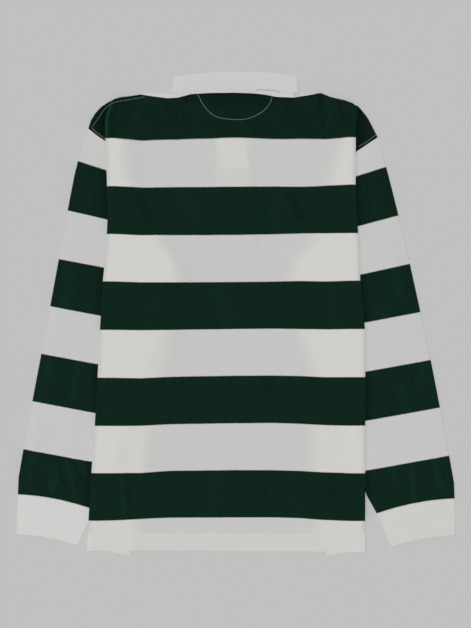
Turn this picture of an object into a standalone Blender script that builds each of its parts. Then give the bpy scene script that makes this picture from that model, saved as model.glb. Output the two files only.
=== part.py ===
"""Long-sleeved polo shirt in hooped jersey, laid flat and face down, at real size.

X runs to the wearer's right, Y to the neck and Z up. The origin is the middle of the shirt's
outline, on the surface that it lies on. Sizes are in millimetres until the points are made.
"""

import math
from collections import namedtuple

import bmesh
import bpy
import numpy as np

MM = 0.001

# Cloth: a wall, and the air between two layers that lie on each other
WALL = 1.2
AIR = 0.5
LAYER = WALL + AIR
SEAM_GAP = 0.4

# A pair of layers, front and back, is drawn about the core line between them
NEAR = AIR / 2
FAR = NEAR + WALL
FOLD = LAYER
FOLD_REACH = FOLD + FAR
PAIR = 2 * LAYER

# Where an upper layer climbs over the edge of what lies below it
RAMP = 22
EDGE_MARGIN = 3

# Divisions
ARC = 3
FLAP_CELLS = 4
THIRD_CELLS = 2

# Body, one row for each level on each side. Distances are from the centre line.
# fold: the side edge that shows. inner: the hidden edge of what is folded under.
# outer: end of the third layer, which shows beyond the fold at the shoulder.
# sleeve: inner edge of the sleeve that lies below. drop: how far the flap's corner hangs lower.
Side = namedtuple("Side", "y fold inner outer sleeve drop")
LEFT = [
    Side(340, 201, 191, 206, None, 0),
    Side(332, 202, 191, 213.5, None, 0),
    Side(322, 205.5, 190, 221.5, None, 0),
    Side(310, 208.5, 186, 230.5, None, 0),
    Side(297, 208.5, 183, 235.5, None, 0),
    Side(286, 208.5, 181, 222, None, 0),
    Side(276, 208, 179, 207, None, 0),
    Side(240, 206.5, 179, 194, None, 0),
    Side(204, 205.5, 176, 183, None, 0),
    Side(165, 204, 155, None, 155, 0),
    Side(112, 206.5, 123.5, None, 123.5, 0),
    Side(84, 209, 107, None, 107, 0),
    Side(54, 212, 96, None, 96, 0),
    Side(-30, 217, 113.5, None, 125.5, 0),
    Side(-100, 220.5, 128, None, 150.5, 1),
    Side(-178, 225, 147, None, 178, 3),
    Side(-254, 230.5, 155, None, 205, 5),
    Side(-300, 233, 161, None, 221.5, 7),
    Side(-335, 235.5, 166, None, 231, 8),
    Side(-360, 236.7, 166, None, None, 9),
    Side(-378, 238, 165, None, None, 10),
]
RIGHT = [
    Side(333, 194.5, 184.5, 198, None, 0),
    Side(325, 194.5, 183.5, 203, None, 0),
    Side(315, 194, 181, 211, None, 0),
    Side(303, 194, 179, 217.5, None, 0),
    Side(283, 194, 177, 227.5, None, 0),
    Side(272, 194, 175, 211, None, 0),
    Side(260.5, 194, 172, 194, None, 0),
    Side(233, 193.5, 166, 178, None, 0),
    Side(207, 192.5, 158, 165, None, 0),
    Side(165, 193.5, 144, None, 144, 0),
    Side(112, 197.5, 130, None, 130, 0),
    Side(84, 198.5, 104, None, 104, 0),
    Side(54, 199.5, 94.5, None, 94.5, 0),
    Side(-30, 207.5, 110.5, None, 122, 0),
    Side(-100, 207.5, 133, None, 145.5, 1),
    Side(-178, 207.5, 131.5, None, 171.5, 2),
    Side(-254, 207.5, 132, None, 196.5, 4),
    Side(-300, 207.5, 134, None, 206, 5),
    Side(-335, 207.5, 136, None, None, 6),
    Side(-360, 207.5, 138, None, None, 7),
    Side(-380.5, 207.7, 139.5, None, None, 8),
]
# Levels at which the armhole seam starts, leaves the third layer, and ends in the armpit
SEAM_START = 4
SEAM_UNDER = 9
PIT = 12

# Top edge of the back, from the left shoulder over the neck to the right one
TopPoint = namedtuple("TopPoint", "x y")
TOP_EDGE = [
    TopPoint(-206, 339),
    TopPoint(-184, 346),
    TopPoint(-152, 351),
    TopPoint(-136, 348.5),
    TopPoint(-109, 345),
    TopPoint(-92, 346),
    TopPoint(-72, 351.5),
    TopPoint(-40, 353.4),
    TopPoint(0, 353.8),
    TopPoint(30, 352.6),
    TopPoint(48, 350.6),
    TopPoint(66, 347),
    TopPoint(92, 346),
    TopPoint(121, 350.5),
    TopPoint(136, 353.8),
    TopPoint(150, 348),
    TopPoint(174, 341.5),
    TopPoint(188, 336),
    TopPoint(200, 330),
]

# Neck: the front is scooped, and its scoop fades out over the rows below
NECK_HALF = 92
NECK_DEPTH = 78
NECK_FADE_END = 204
NECK_ROUNDNESS = 2.4
NECK_COLUMNS = (92, 68, 44, 24, 7)
COLUMN_CLEARANCE = 8

# Closing: band and buttons under the front
BAND_WIDTH = 35
BAND_TOP = 271
BAND_LENGTH = 154
BUTTON_RADIUS = 5.75
BUTTON_THICKNESS = 1.4
BUTTON_RIM = 0.4
BUTTON_SIDES = 16
BUTTON_SPACING = 48
TOP_BUTTON_DROP = 14
# The body lies flat over the band this far out and beyond its ends, and comes down in a ramp
BAND_REACH = 24
BAND_RAMP = 20
ABOVE_BAND = 34
BELOW_BAND = 4

# Collar: where its leaves lie, which the body is lifted over
LEAF_LEFT = 156
LEAF_RIGHT = 138
LEAF_BOTTOM = 230
LEAF_RAMP = 24
LEAF_FADE = 60

# Collar at the back, by distance from the centre line: roll line and lower edge of the fall
Back = namedtuple("Back", "x roll_x roll_y edge_x edge_y")
COLLAR_BACK = [
    Back(0, 0, 387.2, 0, 359),
    Back(30, 31, 387, 31, 358.4),
    Back(60, 62, 385, 63, 358.4),
    Back(76, 79, 382.8, 80, 354.4),
    Back(92, 93.5, 380.4, 98.5, 353.6),
]
# Collar in front, from the side (0) to the closing (1): roll line, a place midway on the leaf, and
# its outer edge on the left and on the right
Leaf = namedtuple("Leaf", "along roll_x roll_y mid_x mid_y left_x left_y right_x right_y")
COLLAR_FRONT = [
    Leaf(0, 93.5, 380.4, 96, 367, 98.5, 353.6, 98.5, 353.6),
    Leaf(0.25, 74, 360, 98, 349.5, 150, 354.5, 129, 352.2),
    Leaf(0.5, 50, 334, 88, 322, 134, 304, 122, 304),
    Leaf(0.75, 27, 315, 62, 288, 100, 258, 98, 258),
    Leaf(1, 7, 303, 34.5, 269.5, 62, 236, 62, 236),
]
ROLL_REACH = LAYER / 2
# Shares of the closing band's lift at the stand's middle, at the roll line and on top of the roll
BAND_SHARES = (0.8, 0.5, 0.25)
COLLAR_MIDDLE = FAR + LAYER
STAND_LEVEL = LAYER / 2
FALL_LEVEL = STAND_LEVEL + LAYER

# Sleeves: outer edge, how far along the underarm (0 armpit to 1 cuff), share of the armhole's bend
Cut = namedtuple("Cut", "x y underarm bend")
SLEEVE_LEFT = [
    Cut(243, 277.5, 0.06, 0.85),
    Cut(250, 254, 0.12, 0.7),
    Cut(257.5, 224, 0.19, 0.5),
    Cut(264.5, 188, 0.27, 0.35),
    Cut(275, 131, 0.37, 0.2),
    Cut(286.5, 68, 0.47, 0.1),
    Cut(297.5, 8, 0.57, 0),
    Cut(309, -54, 0.66, 0),
    Cut(320.5, -114, 0.75, 0),
    Cut(331.5, -173, 0.84, 0),
    Cut(341.5, -227, 0.92, 0),
    Cut(347.5, -262, 0.97, 0),
    Cut(348.5, -288.5, 1, 0),
]
SLEEVE_RIGHT = [
    Cut(235.5, 258, 0.06, 0.85),
    Cut(243, 229, 0.12, 0.7),
    Cut(251, 198, 0.19, 0.5),
    Cut(261, 158, 0.27, 0.35),
    Cut(273.5, 106, 0.37, 0.2),
    Cut(287, 45, 0.47, 0.1),
    Cut(299.5, -12, 0.57, 0),
    Cut(311.5, -68, 0.66, 0),
    Cut(322.5, -124, 0.75, 0),
    Cut(333.5, -180, 0.84, 0),
    Cut(343.5, -234, 0.92, 0),
    Cut(350, -270, 0.97, 0),
    Cut(351, -295, 1, 0),
]
UNDERARM_LEFT = ((96, 54), (226, -313))
UNDERARM_RIGHT = ((94.5, 54), (207, -285), (226, -319))

# Cuffs: outer and inner edge at each level, and how far the ring bows up between them
Ring = namedtuple("Ring", "outer_x outer_y inner_x inner_y bow")
CUFF_LEFT = [
    Ring(348.5, -289.2, 226, -313.8, 5),
    Ring(350, -320, 242, -346, 4.2),
    Ring(350.6, -352, 251.5, -370.5, 3.4),
]
CUFF_RIGHT = [
    Ring(351, -295.7, 226, -319.8, 5),
    Ring(351, -324, 238, -346.5, 4.2),
    Ring(351, -353.5, 249, -372, 3.4),
]
# The last rows of the sleeve bow up into the cuff's seam
BOW_ROWS = 3
RIB_PITCH = 6
RIB_HEIGHT = 0.15

SHARP_DEGREES = 50

GREEN_SRGB = (17, 38, 29)
WHITE_SRGB = (203, 203, 201)
BUTTON_SRGB = (222, 220, 212)


def linear(srgb):
    return [((v / 255 + 0.055) / 1.055) ** 2.4 if v > 10 else v / 255 / 12.92 for v in srgb]


def fabric(name, srgb, roughness=0.9):
    material = bpy.data.materials.new(name)
    material.use_nodes = True
    shader = material.node_tree.nodes["Principled BSDF"]
    shader.inputs["Base Color"].default_value = (*linear(srgb), 1)
    shader.inputs["Roughness"].default_value = roughness
    shader.inputs["Metallic"].default_value = 0
    return material


def eased(value):
    """0 below 0, 1 above 1, with a smooth rise between."""
    value = min(max(value, 0), 1)
    return value * value * (3 - 2 * value)


def plateau(value, low, high, ramp):
    """1 between low and high, falling smoothly to 0 within ramp on either side."""
    return eased((value - low + ramp) / ramp) * eased((high + ramp - value) / ramp)


def climb(distance, edge, margin):
    """1 over a layer that ends at edge, 0 inside of it; no layer where edge is None."""
    if edge is None:
        return 0
    return eased((distance - edge + margin + RAMP) / RAMP)


def band_lift(x, y):
    across = plateau(x, -BAND_REACH, BAND_REACH, BAND_RAMP)
    low = BAND_TOP - BAND_LENGTH - BELOW_BAND
    return across * plateau(y, low, BAND_TOP + ABOVE_BAND, BAND_RAMP)


def leaf_lift(x, y):
    across = plateau(x, -LEAF_LEFT, LEAF_RIGHT, LEAF_RAMP)
    return across * eased((y - LEAF_BOTTOM + LEAF_FADE) / LEAF_FADE)


def lower_edge(side):
    """Inner edge of the lowest pair of layers at this level: the third layer or the sleeve."""
    return side.inner if side.outer is not None else side.sleeve


def flap_xs(side):
    """Distances at which the upper and the folded layers have their shared points."""
    start = side.fold - FOLD_REACH
    end = side.inner + (FOLD_REACH if side.outer is not None else 0)
    return [start + (end - start) * i / FLAP_CELLS for i in range(FLAP_CELLS + 1)]


def under_height(side, distance):
    """Core height of the folded pair, which lies on the sleeve or on the third pair."""
    margin = max(EDGE_MARGIN, (side.fold - side.inner) / FLAP_CELLS)
    return FAR + PAIR * climb(distance, lower_edge(side), margin)


def top_height(side, distance, x, y):
    """Core height of the upper pair over all that lies below it."""
    flap = PAIR * climb(distance, side.inner, EDGE_MARGIN)
    band = band_lift(x, y)
    collar = LAYER * (max(leaf_lift(x, y), band) + band)
    return under_height(side, distance) + flap + collar


def level_y(left, right, x):
    share = (x + left.fold) / (left.fold + right.fold)
    return left.y + (right.y - left.y) * min(max(share, 0), 1)


def folded_side(side, sign):
    """Core points from the fold down to the sheet's end, with the back's direction at each.

    Each item is (x, y, z, normal x, normal z). Items of a third layer that isn't there are None.
    """
    items = []
    xs = flap_xs(side)
    low = under_height(side, xs[0])
    for i in range(1, ARC):
        angle = math.pi * (0.5 - i / ARC)
        out = FOLD * math.cos(angle)
        up = low + FOLD + FOLD * math.sin(angle)
        items.append((sign * (xs[0] + out), side.y, up, sign * math.cos(angle), math.sin(angle)))
    for i, distance in enumerate(xs):
        y = side.y - side.drop * i / FLAP_CELLS
        items.append((sign * distance, y, under_height(side, distance), 0, -1))
    if side.outer is None:
        return items + [None] * (ARC + THIRD_CELLS)
    for i in range(1, ARC):
        angle = math.pi * (0.5 - i / ARC)
        out = xs[-1] - FOLD * math.cos(angle)
        up = FAR + FOLD + FOLD * math.sin(angle)
        items.append((sign * out, side.y, up, sign * math.cos(angle), -math.sin(angle)))
    for i in range(THIRD_CELLS + 1):
        out = xs[-1] + (side.outer - xs[-1]) * i / THIRD_CELLS
        items.append((sign * out, side.y, FAR, 0, 1))
    return items


def top_columns(left, right):
    """Places of the upper layers' points, from the left fold to the right one."""

    def half(side):
        ramp_end = side.inner - EDGE_MARGIN - RAMP
        fit = min(1, (ramp_end - COLUMN_CLEARANCE) / NECK_HALF)
        neck = [column * fit for column in NECK_COLUMNS]
        spread = [side.inner - EDGE_MARGIN, ramp_end, (ramp_end + neck[0]) / 2]
        return flap_xs(side) + spread + neck

    return [-x for x in half(left)] + half(right)[::-1]


def scoop(x):
    share = abs(x) / NECK_HALF
    return NECK_DEPTH * (1 - share**NECK_ROUNDNESS) if share < 1 else 0


def top_edge(x):
    return float(np.interp(x, [point.x for point in TOP_EDGE], [point.y for point in TOP_EDGE]))


def body_sheet(is_front):
    """Rows of core points for the front or the back, which differ only at the neck."""
    rows = []
    for level, (left, right) in enumerate(zip(LEFT, RIGHT)):
        upper = []
        for x in top_columns(left, right):
            y = top_edge(x) if level == 0 else level_y(left, right, x)
            if is_front:
                y -= scoop(x) * max(0, y - NECK_FADE_END) / (top_edge(x) - NECK_FADE_END)
            side = left if x < 0 else right
            upper.append((x, y, top_height(side, abs(x), x, y), 0, 1))
        rows.append(folded_side(left, -1)[::-1] + upper + folded_side(right, 1))
    return rows


def moved(sheet, distance):
    """The sheet's points, moved towards the back by a distance, in metres."""
    rows = []
    for row in sheet:
        rows.append([
            item and (
                (item[0] + item[3] * distance) * MM,
                item[1] * MM,
                (item[2] + item[4] * distance) * MM,
            )
            for item in row
        ])
    return rows


def build_wall(name, inside, outside, material, closed=False):
    """One closed body between two sheets of points; closed joins the last column to the first."""
    bm = bmesh.new()
    skins = []
    for sheet in (inside, outside):
        skins.append([[point and bm.verts.new(point) for point in row] for row in sheet])
    inner, outer = skins
    rim = set()
    columns = len(inside[0])
    for r in range(len(inside) - 1):
        for c in range(columns if closed else columns - 1):
            d = (c + 1) % columns
            corners = [(r, c), (r, d), (r + 1, d), (r + 1, c)]
            if any(inner[i][j] is None for i, j in corners):
                continue
            bm.faces.new([outer[i][j] for i, j in corners])
            bm.faces.new([inner[i][j] for i, j in corners[:1] + corners[:0:-1]])
            rim.update(zip(corners, corners[1:] + corners[:1]))
    for a, b in rim:
        if (b, a) not in rim:
            bm.faces.new([outer[b[0]][b[1]], outer[a[0]][a[1]], inner[a[0]][a[1]], inner[b[0]][b[1]]])
    loose = [vertex for vertex in bm.verts if not vertex.link_faces]
    bmesh.ops.delete(bm, geom=loose, context="VERTS")
    bmesh.ops.recalc_face_normals(bm, faces=bm.faces)
    mesh = bpy.data.meshes.new(name)
    bm.to_mesh(mesh)
    bm.free()
    mesh.shade_smooth()
    mesh.set_sharp_from_angle(angle=math.radians(SHARP_DEGREES))
    mesh.materials.append(material)
    piece = bpy.data.objects.new(name, mesh)
    bpy.context.scene.collection.objects.link(piece)
    return piece


def make_body(green):
    for name, is_front, near, far in (("back", False, NEAR, FAR), ("front", True, -FAR, -NEAR)):
        sheet = body_sheet(is_front)
        build_wall(name, moved(sheet, near), moved(sheet, far), green)


def along(points, share):
    """Point at a share of the length of a line through points."""
    points = np.array(points, float)
    steps = np.linalg.norm(np.diff(points, axis=0), axis=1)
    travelled = np.concatenate([[0], np.cumsum(steps)]) / steps.sum()
    return np.array([np.interp(share, travelled, points[:, i]) for i in (0, 1)])


def armhole(sides):
    """Line of the armhole seam in plan, from the shoulder to the armpit, moved out by the gap."""
    line = [(side.outer, side.y) for side in sides[SEAM_START:SEAM_UNDER]]
    line += [(side.inner, side.y) for side in sides[SEAM_UNDER:PIT + 1]]
    line = np.array(line, float)
    steps = np.gradient(line, axis=0)
    normals = np.stack([-steps[:, 1], steps[:, 0]], axis=1)
    normals /= np.linalg.norm(normals, axis=1)[:, None]
    return line - normals * SEAM_GAP * np.sign(normals[:, 1:])


def flat_tube(lines, sign, radius, thicken=None):
    """Rings of a flattened tube about lines in plan, from its outer to its inner edge."""
    lines = np.array(lines)
    runs = np.gradient(lines, axis=0)
    rings = []
    for line, run in zip(lines, runs):
        ring = []
        out, inward = [
            np.array([edge_run[1], -edge_run[0]]) / np.linalg.norm(edge_run)
            for edge_run in (run[0], run[-1])
        ]
        out = out * np.sign(out[0])
        inward = -inward * np.sign(inward[0])
        for i, (x, y) in enumerate(line):
            extra = thicken(i) if thicken else 0
            ring.append((x, y, FAR + radius + extra))
        for i in range(1, ARC):
            angle = math.pi * (0.5 - i / ARC)
            step = inward * radius * math.cos(angle)
            ring.append((*(line[-1] + step), FAR + radius * math.sin(angle)))
        for x, y in reversed(line):
            ring.append((x, y, FAR - radius))
        for i in range(1, ARC):
            angle = math.pi * (0.5 + i / ARC)
            step = -out * radius * math.cos(angle)
            ring.append((*(line[0] + step), FAR - radius * math.sin(angle)))
        rings.append([(sign * x * MM, y * MM, z * MM) for x, y, z in ring])
    return rings


def inset_ends(line):
    """The line with its ends drawn in, so that the folds round them reach the outline."""
    line = np.array(line, float)
    for end, inner in ((0, 1), (-1, -2)):
        step = line[inner] - line[end]
        line[end] += step * FAR / np.linalg.norm(step)
    return line


def bowed(shares, bow):
    """Steps in plan that bow a line up between its ends."""
    return np.hstack([0 * shares, 4 * bow * shares * (1 - shares)])


def make_sleeve(name, sides, cuts, underarm, sign, seam_bow, green):
    seam = armhole(sides)
    travelled = np.concatenate([[0], np.cumsum(np.linalg.norm(np.diff(seam, axis=0), axis=1))])
    shares = (travelled / travelled[-1])[:, None]
    bend = seam - seam[0] - shares * (seam[-1] - seam[0])
    lines = [inset_ends(seam)]
    for rows_left, cut in zip(reversed(range(len(cuts))), cuts):
        outer = np.array([cut.x, cut.y])
        inner = along(underarm, cut.underarm)
        bow = bowed(shares, seam_bow * eased(1 - rows_left / BOW_ROWS))
        lines.append(inset_ends(outer + shares * (inner - outer) + bend * cut.bend + bow))
    inside = flat_tube(lines, sign, NEAR)
    outside = flat_tube(lines, sign, FAR)
    build_wall(name, inside, outside, green, closed=True)


def make_cuff(name, rings, sign, white):
    width = rings[0].outer_x - rings[0].inner_x
    ribs = round(width / RIB_PITCH)
    cells = 2 * ribs
    lines = []
    for ring in rings:
        ends = np.array([(ring.outer_x, ring.outer_y), (ring.inner_x, ring.inner_y)], float)
        shares = np.arange(cells + 1)[:, None] / cells
        lines.append(inset_ends(ends[0] + shares * (ends[1] - ends[0]) + bowed(shares, ring.bow)))
    inside = flat_tube(lines, sign, NEAR)
    outside = flat_tube(lines, sign, FAR, lambda i: (0 if i % 2 else -RIB_HEIGHT))
    build_wall(name, inside, outside, white, closed=True)


def neck_edge(sheet, sign):
    """Top edge of a panel on one side of the neck, from its middle to its corner, in plan."""
    upper = [item[:2] for item in sheet[0] if item and item[4] == 1]
    half = [(x, y) for x, y in upper if 0 < sign * x <= NECK_HALF]
    return sorted(half, key=lambda point: abs(point[0]))


def row_value(rows, key, at, name):
    return np.interp(at, [getattr(row, key) for row in rows], [getattr(row, name) for row in rows])


def collar_half(sign):
    """Stations from the middle of the back round one side to the closing in front.

    Each is (seam, roll, mid, edge, turn): four places in plan, and the turn from the back's
    upward side (90 degrees) round the side fold to the front's downward side (-90).
    """
    half = []
    for x, y in neck_edge(body_sheet(False), sign):
        roll_x, roll_y, edge_x, edge_y = [
            row_value(COLLAR_BACK, "x", abs(x), name) for name in Back._fields[1:]
        ]
        roll, edge = np.array((sign * roll_x, roll_y)), np.array((sign * edge_x, edge_y))
        half.append((np.array((x, y + SEAM_GAP)), roll, (roll + edge) / 2, edge, 90))
    for i in range(1, ARC):
        half.append((*half[-1][:4], 90 - 180 * i / ARC))
    front = neck_edge(body_sheet(True), sign)[::-1]
    edge_name = "left" if sign < 0 else "right"
    for i, (x, y) in enumerate(front):
        roll, mid, edge = [
            np.array([
                row_value(COLLAR_FRONT, "along", i / (len(front) - 1), name + axis)
                for axis in ("_x", "_y")
            ]) * (sign, 1)
            for name in ("roll", "mid", edge_name)
        ]
        half.append((np.array((x, y + SEAM_GAP)), roll, mid, edge, -90))
    return half


def collar_column(seam, roll, mid, edge, turn):
    """The collar from the neck seam over the roll line to the fall's edge: points and normals."""
    rise = (roll - seam) / np.linalg.norm(roll - seam)
    angle = math.radians(turn)
    away = np.array((math.copysign(math.cos(angle), seam[0]), 0, math.sin(angle)))
    over = np.array((*rise, 0))
    # place in plan, distance from the middle of the folded collar, share of the band's lift, normal
    line = [
        (seam, STAND_LEVEL, 1, -away),
        ((seam + roll) / 2, STAND_LEVEL, BAND_SHARES[0], -away),
        (roll, STAND_LEVEL, BAND_SHARES[1], -away),
        (roll + rise * ROLL_REACH, (STAND_LEVEL + FALL_LEVEL) / 2, BAND_SHARES[2], over),
        (roll, FALL_LEVEL, 0, away),
        (mid, FALL_LEVEL, 0, away),
        (edge, FALL_LEVEL, 0, away),
    ]
    column = []
    for (x, y), radius, share, normal in line:
        lift = LAYER * band_lift(x, y) * share if turn == -90 else 0
        column.append((np.array((x, y, COLLAR_MIDDLE + lift)) + radius * away, normal))
    return column


def make_collar(white):
    stations = collar_half(-1)[::-1] + collar_half(1)
    columns = [collar_column(*station) for station in stations]
    skins = []
    for offset in (-WALL / 2, WALL / 2):
        skins.append([[tuple((p + n * offset) * MM) for p, n in column] for column in columns])
    build_wall("collar", *skins, white)


def make_placket(white):
    half = BAND_WIDTH / 2
    sheets = []
    for height in (LAYER, LAYER + WALL):
        sheets.append([
            [(x * MM, y * MM, height * MM) for x in (-half, half)]
            for y in (BAND_TOP, BAND_TOP - BAND_LENGTH)
        ])
    build_wall("placket", *sheets, white)


def make_button(place, number, plastic):
    bm = bmesh.new()
    bmesh.ops.create_cone(
        bm, cap_ends=True, segments=BUTTON_SIDES, depth=BUTTON_THICKNESS * MM,
        radius1=BUTTON_RADIUS * MM, radius2=BUTTON_RADIUS * MM,
    )
    rims = [edge for edge in bm.edges if any(len(f.verts) == BUTTON_SIDES for f in edge.link_faces)]
    bmesh.ops.bevel(
        bm, geom=rims, offset=BUTTON_RIM * MM, segments=1, affect="EDGES", profile=0.5, material=-1,
    )
    mesh = bpy.data.meshes.new("button_" + place)
    bm.to_mesh(mesh)
    bm.free()
    mesh.materials.append(plastic)
    button = bpy.data.objects.new("button_" + place, mesh)
    y = BAND_TOP - TOP_BUTTON_DROP - BUTTON_SPACING * number
    button.location = (0, y * MM, BUTTON_THICKNESS / 2 * MM)
    bpy.context.scene.collection.objects.link(button)


for obj in list(bpy.data.objects):
    bpy.data.objects.remove(obj, do_unlink=True)

green_jersey = fabric("green_jersey", GREEN_SRGB)
white_rib = fabric("white_rib", WHITE_SRGB)
white_twill = fabric("white_twill", WHITE_SRGB, 0.85)
make_body(green_jersey)
make_sleeve(
    "sleeve_left", LEFT, SLEEVE_LEFT, UNDERARM_LEFT, -1, CUFF_LEFT[0].bow, green_jersey
)
make_sleeve(
    "sleeve_right", RIGHT, SLEEVE_RIGHT, UNDERARM_RIGHT, 1, CUFF_RIGHT[0].bow, green_jersey
)
make_cuff("cuff_left", CUFF_LEFT, -1, white_rib)
make_cuff("cuff_right", CUFF_RIGHT, 1, white_rib)
make_collar(white_twill)
make_placket(white_twill)
button_white = fabric("button_white", BUTTON_SRGB, 0.5)
for number, place in enumerate(("top", "middle", "bottom")):
    make_button(place, number, button_white)
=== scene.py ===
import math
from collections import namedtuple

import bmesh
import bpy
import numpy as np
from mathutils import Matrix, Vector
from mathutils.bvhtree import BVHTree


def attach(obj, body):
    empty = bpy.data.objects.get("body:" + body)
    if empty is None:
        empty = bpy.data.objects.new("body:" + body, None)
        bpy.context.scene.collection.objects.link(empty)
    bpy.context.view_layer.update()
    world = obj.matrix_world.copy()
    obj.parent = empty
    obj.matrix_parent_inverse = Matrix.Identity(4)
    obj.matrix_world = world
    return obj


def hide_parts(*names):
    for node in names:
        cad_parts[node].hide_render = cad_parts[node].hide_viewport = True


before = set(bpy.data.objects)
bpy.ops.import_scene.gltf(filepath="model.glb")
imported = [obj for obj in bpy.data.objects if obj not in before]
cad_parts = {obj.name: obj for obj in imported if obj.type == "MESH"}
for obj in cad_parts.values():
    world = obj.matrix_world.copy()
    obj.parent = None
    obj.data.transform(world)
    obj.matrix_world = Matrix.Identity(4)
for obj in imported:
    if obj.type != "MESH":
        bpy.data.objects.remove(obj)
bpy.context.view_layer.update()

# The place: the shirt lies on a plain pale surface in soft studio light, most of it from above and
# some from low lamps all round, which cast no shadows. It is seen from straight above, and the
# picture takes in a little over a metre from top to bottom.
PICTURE_HEIGHT = 1.0048
LENS_MM = 80
SENSOR_MM = 36
CLOTH_TOP = 0.004
FLOOR_SIZE = 60
SKY_STRENGTH = 0.27
# Height of the fill lamps for each unit of their distance: 12 degrees above the surface
FILL_HEIGHT = 0.2126
Lamp = namedtuple("Lamp", "name strength softness shadows x y z")
LAMPS = [
    Lamp("overhead_lamp", 1.4, 24, True, 0, 0, 1),
    Lamp("side_lamp", 0.4, 34, True, -0.62, 0.5, 1),
    Lamp("left_fill_lamp", 0.8, 20, False, -1, 0, FILL_HEIGHT),
    Lamp("right_fill_lamp", 0.8, 20, False, 1, 0, FILL_HEIGHT),
    Lamp("far_fill_lamp", 0.8, 20, False, 0, 1, FILL_HEIGHT),
    Lamp("near_fill_lamp", 0.8, 20, False, 0, -1, FILL_HEIGHT),
]


def from_srgb(red, green, blue):
    """A colour from the three numbers, 0 to 255, that a screen shows for it."""
    channels = [value / 255 for value in (red, green, blue)]
    return (*[((c + 0.055) / 1.055) ** 2.4 if c > 0.04 else c / 12.92 for c in channels], 1)


def new_material(name, roughness):
    """A material with little shine and its shader, ready for its colour and surface."""
    material = bpy.data.materials.new(name)
    material.use_nodes = True
    shader = material.node_tree.nodes["Principled BSDF"]
    shader.inputs["Roughness"].default_value = roughness
    shader.inputs["Specular IOR Level"].default_value = 0.04
    return material, shader


camera_data = bpy.data.cameras.new("camera")
camera_data.lens = LENS_MM
camera_data.sensor_width = SENSOR_MM
camera = bpy.data.objects.new("camera", camera_data)
camera.location = (0, 0, LENS_MM / SENSOR_MM * PICTURE_HEIGHT + CLOTH_TOP)
bpy.context.scene.collection.objects.link(camera)
bpy.context.scene.camera = camera

sky = bpy.data.worlds.new("soft_room")
sky.use_nodes = True
sky.node_tree.nodes["Background"].inputs["Color"].default_value = (1, 1, 1, 1)
sky.node_tree.nodes["Background"].inputs["Strength"].default_value = SKY_STRENGTH
bpy.context.scene.world = sky
bpy.context.scene.view_settings.view_transform = "Standard"

for lamp in LAMPS:
    light = bpy.data.lights.new(lamp.name, "SUN")
    light.energy = lamp.strength
    light.angle = math.radians(lamp.softness)
    light.use_shadow = lamp.shadows
    holder = bpy.data.objects.new(lamp.name, light)
    holder.rotation_euler = Vector((lamp.x, lamp.y, lamp.z)).to_track_quat("Z", "Y").to_euler()
    bpy.context.scene.collection.objects.link(holder)

floor_mesh = bpy.data.meshes.new("floor")
bm = bmesh.new()
bmesh.ops.create_grid(bm, x_segments=1, y_segments=1, size=FLOOR_SIZE / 2)
bm.to_mesh(floor_mesh)
bm.free()
floor = bpy.data.objects.new("floor", floor_mesh)
bpy.context.scene.collection.objects.link(floor)
floor_material, floor_shader = new_material("pale_surface", roughness=0.9)
floor_shader.inputs["Base Color"].default_value = from_srgb(190, 190, 190)
floor_mesh.materials.append(floor_material)

# The body: a back and a front panel of heavy cotton jersey, knitted in dark green and white hoops,
# sewn at the shoulders and sides. They lie on each other, and both sides are folded under as one
# pair. Sizes are in millimetres, and distances are from the centre line.
# fold: the side edge that shows; inner: the hidden edge of what is folded under; outer: end of
# the layer that shows beyond the fold at the shoulder; lower: edge of the lowest pair; drop: how
# far the folded corner hangs lower
MM = 0.001
WALL = 1.2
AIR = 0.5
LAYER = WALL + AIR
# From the line between front and back to the middle of each wall, and to its far face
MIDDLE = LAYER / 2
FAR = MIDDLE + WALL / 2
# Radius of a fold at that line, and how far the fold reaches in all
FOLD = LAYER
FOLD_REACH = FOLD + FAR
PAIR = 2 * LAYER
# Width of the slope where cloth climbs over an edge below it, and how far before the edge it ends
RAMP = 32
EDGE_MARGIN = 2
SEAM_GAP = 0.4
Side = namedtuple("Side", "y fold inner outer lower drop")
LEFT = [
    Side(340, 201, 191, 202, 191, 0),
    Side(332, 202, 191, 214.5, 191, 0),
    Side(322, 205.5, 190, 224, 190, 0),
    Side(310, 208.5, 186, 231.5, 186, 0),
    Side(297, 208.5, 183, 235.5, 183, 0),
    Side(286, 208.5, 181, 222, 181, 0),
    Side(276, 208, 179, 207, 179, 0),
    Side(240, 206.5, 179, 194, 179, 0),
    Side(204, 205.5, 176, 183, 176, 0),
    Side(165, 204, 155, 0, 155, 0),
    Side(112, 206.5, 123.5, 0, 123.5, 0),
    Side(84, 209, 107, 0, 107, 0),
    Side(54, 212, 96, 0, 96, 0),
    Side(-30, 217, 113.5, 0, 125.5, 0),
    Side(-100, 220.5, 128, 0, 150.5, 1),
    Side(-178, 225, 147, 0, 178, 3),
    Side(-254, 230.5, 155, 0, 205, 5),
    Side(-300, 233, 161, 0, 221.5, 7),
    Side(-335, 235.5, 166, 0, 231, 8),
    Side(-360, 236.7, 166, 0, 262, 9),
    Side(-378, 238, 165, 0, 262, 10),
]
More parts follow.
